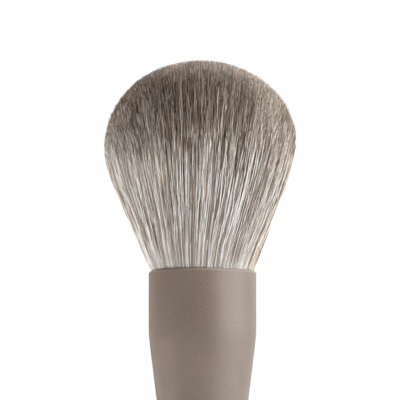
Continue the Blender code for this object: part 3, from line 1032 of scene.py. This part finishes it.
        # The waves start over the rim, and the sway is less near the tips
        rise = np.clip(height / STIFF_UP_TO, 0.0, 1.0)[..., None]
        swaying = rise * (1 - TIP_CALMED * near_tip)[..., None]
        path = path + self.sway.at(self.lock_of[chosen], height) * swaying
        path = path + (self.stray.at(chosen, height) + self.crimp.at(chosen, height)) * rise
        outwards = turned_by(own, twist(height)) / np.maximum(kept, 1e-6)
        dip = self.dip.at(chosen, height)[..., :1] - np.abs(self.dip.size[chosen][:, None, :1])
        path = path + outwards * dip * rise
        path[..., 0] += lean(height)
        # Bent fibres keep their place across the dome and follow it in depth
        across = path[..., 0] - trimmed_lean(height)
        limit = trimmed_radius(height) - self.sunk[chosen][:, None]
        depth = np.sqrt(np.maximum(limit**2 - across**2, BENT_SHALLOWEST**2))
        reach = np.abs(path[..., 1])
        followed = -BEND_EASE * np.logaddexp(-reach / BEND_EASE, -depth / BEND_EASE)
        bent = self.bent[chosen][:, None] & (height > 0)
        path[..., 1] = np.where(bent, np.sign(path[..., 1]) * np.abs(followed), path[..., 1])
        return path, height

    def colour_places(self, chosen, height):
        """Where points of the chosen fibres, at heights over the rim, are on the fibre's map."""
        shift = self.dye_shift[chosen][:, None] * eased(height, 0.0, STIFF_UP_TO)
        up = np.clip((height - shift - MAP_START) / MAP_LENGTH, MAP_MARGIN, 1.0 - MAP_MARGIN)
        tints = (self.root_tint, self.side_tint, self.tip_tint)
        root, side, tip = [part[chosen][:, None] for part in tints]
        tint = root + (side - root) * eased(height, *ROOT_TO_SIDE)
        raised = height - self.silver_rise[chosen][:, None]
        tint = tint + (tip - tint) * eased(raised, *SIDE_TO_TIP)
        # Low down, painted shade makes the fibres under the face browner, and painted light makes
        # the roots at the right paler
        brown = PAINTED_SHADE_INSIDE * self.inner[chosen][:, None] * (1 - eased(height, *PAINTED_SHADE_INSIDE_FADE))
        tint = np.clip(tint - brown, 0.0, 1.0)
        pale = self.pale[chosen][:, None] * (1 - eased(height, 0.0, PAINTED_LIGHT_ROOT_UP_TO))
        return tint + (PAINTED_LIGHT_ROOT - tint) * pale, up


def make_fibre(levels):
    """One three-sided fibre of the given number of levels, as a mesh with closed ends."""
    shape = bmesh.new()
    made = bmesh.ops.create_circle(shape, cap_ends=True, radius=1.0, segments=3)
    face = made["verts"][0].link_faces[0]
    for level in range(1, levels):
        grown = bmesh.ops.extrude_face_region(shape, geom=[face])["geom"]
        points = [item for item in grown if isinstance(item, bmesh.types.BMVert)]
        bmesh.ops.translate(shape, verts=points, vec=(0.0, 0.0, 1.0))
        top = [item for item in grown if isinstance(item, bmesh.types.BMFace)][0]
        if level > 1:
            bmesh.ops.delete(shape, geom=[face], context="FACES_ONLY")
        face = top
    bmesh.ops.recalc_face_normals(shape, faces=shape.faces)
    # Each side face takes up the width of the fibre's map
    strip = shape.loops.layers.uv.new(FIBRE_MAP)
    for part in shape.faces:
        for place, loop in enumerate(part.loops):
            loop[strip].uv = (float(place in (1, 2)), loop.vert.co.z)
    mesh = bpy.data.meshes.new("one_fibre")
    shape.to_mesh(mesh)
    shape.free()
    return mesh


def repeated(name, one, count):
    """A mesh of the one fibre, many times over."""
    row = bpy.data.objects.new("fibre_row", one)
    scene.collection.objects.link(row)
    array = row.modifiers.new("repeat", "ARRAY")
    array.count = count
    array.use_relative_offset = False
    array.use_merge_vertices = False
    bpy.context.view_layer.update()
    ready = row.evaluated_get(bpy.context.evaluated_depsgraph_get())
    mesh = bpy.data.meshes.new_from_object(ready)
    mesh.name = name
    bpy.data.objects.remove(row)
    return mesh


def comb(name, chosen, levels, hair, material):
    """A piece made of one fibre, repeated for each chosen root and bent along its own path."""
    fibre = make_fibre(len(levels))
    mesh = repeated(name, fibre, len(chosen))
    corners = np.empty(len(fibre.vertices) * 3)
    fibre.vertices.foreach_get("co", corners)
    corners = corners.reshape(-1, 3)
    level = np.rint(corners[:, 2]).astype(int)

    path, height = hair.paths(chosen, levels)
    girth = (hair.girth[chosen][:, None] * girths(levels))[:, level, None]
    points = np.empty((len(chosen), len(corners), 3))
    points[..., :2] = path[:, level] + turned_by(corners[None], hair.turn[chosen][:, None]) * girth
    points[..., 2] = height[:, level] + FERRULE_RIM / MM
    mesh.vertices.foreach_set("co", (points * MM).ravel())

    loops = np.empty(len(fibre.loops), dtype=np.int32)
    fibre.loops.foreach_get("vertex_index", loops)
    strip = np.empty(len(fibre.loops) * 2)
    fibre.uv_layers[FIBRE_MAP].data.foreach_get("uv", strip)
    tint, up = hair.colour_places(chosen, height[:, level][:, loops])
    tint = tint + (strip[None, ::2] - 0.5) * FIBRE_MAP_WIDTH
    mesh.uv_layers[FIBRE_MAP].data.foreach_set("uv", np.stack([tint, up], axis=-1).ravel())
    bpy.data.meshes.remove(fibre)
    mesh.materials.clear()
    mesh.materials.append(material)
    mesh.shade_smooth()
    mesh.update()
    piece = bpy.data.objects.new(name, mesh)
    scene.collection.objects.link(piece)
    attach(piece, "root")
    return piece


def levels_between(first, last, count):
    return tuple(first + (last - first) * step / (count - 1) for step in range(count))


def girths(levels):
    """A fibre's radius, in mm, by level: thin at its root, full at its belly, fine at its tip."""
    known = (-1.0, 0.0, 0.13, 0.30, 0.50, 0.70, 0.88, 0.97, 1.0)
    radii = (0.050, 0.062, 0.069, 0.074, 0.077, 0.078, 0.072, 0.056, 0.032)
    return np.interp(levels, known, radii)


def add_bristles(material):
    """The fibres, in layers from the face to the core, each parted round the axis into pieces."""
    hair = Hair(SEED)
    angle = np.arctan2(hair.root[:, 1], hair.root[:, 0]) % TAU
    # Levels up a fibre: -1 is its root in the glue, 0 is the rim, and 1 is its tip
    face = (-1.0, 0.0, 0.012, 0.035, *levels_between(0.07, 1.0, 25))
    under = (-1.0, 0.0, 0.03, *levels_between(0.10, 1.0, 11))
    middle = (-1.0, 0.0, 0.42, 0.72, 0.86, 0.94, 1.0)
    core = (-1.0, 0.0, 0.50, 0.80, 0.92, 1.0)
    layers = [
        ("face", "outer_bristles", "outer_silver_taupe_fibre", 0.92, 1.01, 5, face),
        ("under_face", "outer_bristles", "outer_silver_taupe_fibre", 0.82, 0.92, 3, under),
        ("middle", "middle_bristles", "middle_taupe_fibre", 0.45, 0.82, 3, middle),
        ("core", "core_bristles", "core_taupe_fibre", -1.0, 0.45, 2, core),
    ]
    for name, node, slot, low, high, parts, levels in layers:
        for part in range(parts):
            start, stop = TAU * part / parts, TAU * (part + 1) / parts
            deep = (hair.share > low) & (hair.share <= high)
            chosen = np.nonzero(deep & (angle >= start) & (angle < stop))[0]
            piece = comb(f"{name}_fibres_{part + 1}", chosen, levels, hair, material)
            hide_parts(node)


# The scene: each soft box has its azimuth, elevation, width, height, power and colour

add_camera()
add_world()
for box in (
    ("key_right", 67.0, 15.0, 1.15, 0.75, 10.6, COOL_LIGHT),
    ("back_right", 132.0, 12.0, 1.10, 0.70, 2.4, COOL_LIGHT),
    ("fill_left", -62.0, 12.0, 1.20, 0.70, 2.1, WARM_LIGHT),
    ("back_left", -130.0, 12.0, 0.90, 0.70, 1.0, WARM_LIGHT),
    ("high_back_left", -150.0, 50.0, 0.50, 0.50, 4.8, WHITE),
    ("high_right", 60.0, 54.0, 0.50, 0.50, 2.8, COOL_LIGHT),
):
    add_softbox(*box)
for azimuth, power in ((-150.0, 1.9), (-90.0, 1.5), (-30.0, 0.3)):
    add_low_panel(f"table_{-azimuth:.0f}_left", azimuth, power)
add_floor()

grain = build_grain_group()
ferrule_paint = coat("matte_taupe_coat", grain, FERRULE_TAUPE, grain_size=0.22 * MM, speckle=0.95)
# The ferrule's rim gets a painted highlight
paint_rim_highlight(ferrule_paint)
lacquer = coat("matte_taupe_lacquer", grain, HANDLE_TAUPE, grain_size=0.24 * MM, speckle=0.50)
fibre = patterned("soft_dyed_fibre", build_fibre_group(), FIBRE_TAUPE, 0.5, shine=FIBRE_SHINE)
roots = build_roots_group()
glued_roots = patterned("glued_fibre_roots", roots, GLUED_ROOT, roughness=0.6, depth=0.03 * MM)
plies = build_thread_group()
cotton = patterned("twisted_cotton_thread", plies, COTTON, roughness=0.85, depth=0.08 * MM)
cast = build_resin_group()
resin = patterned("cast_amber_resin", cast, AMBER, roughness=0.3, depth=0.05 * MM)
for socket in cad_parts["resin_plug"].material_slots:
    socket.material = resin

add_ferrule(ferrule_paint)
add_handle(lacquer)
add_binding_thread(cotton)
add_root_slices(glued_roots)
add_bristles(fibre)

scene.view_settings.view_transform = "Standard"
scene.view_settings.look = "None"
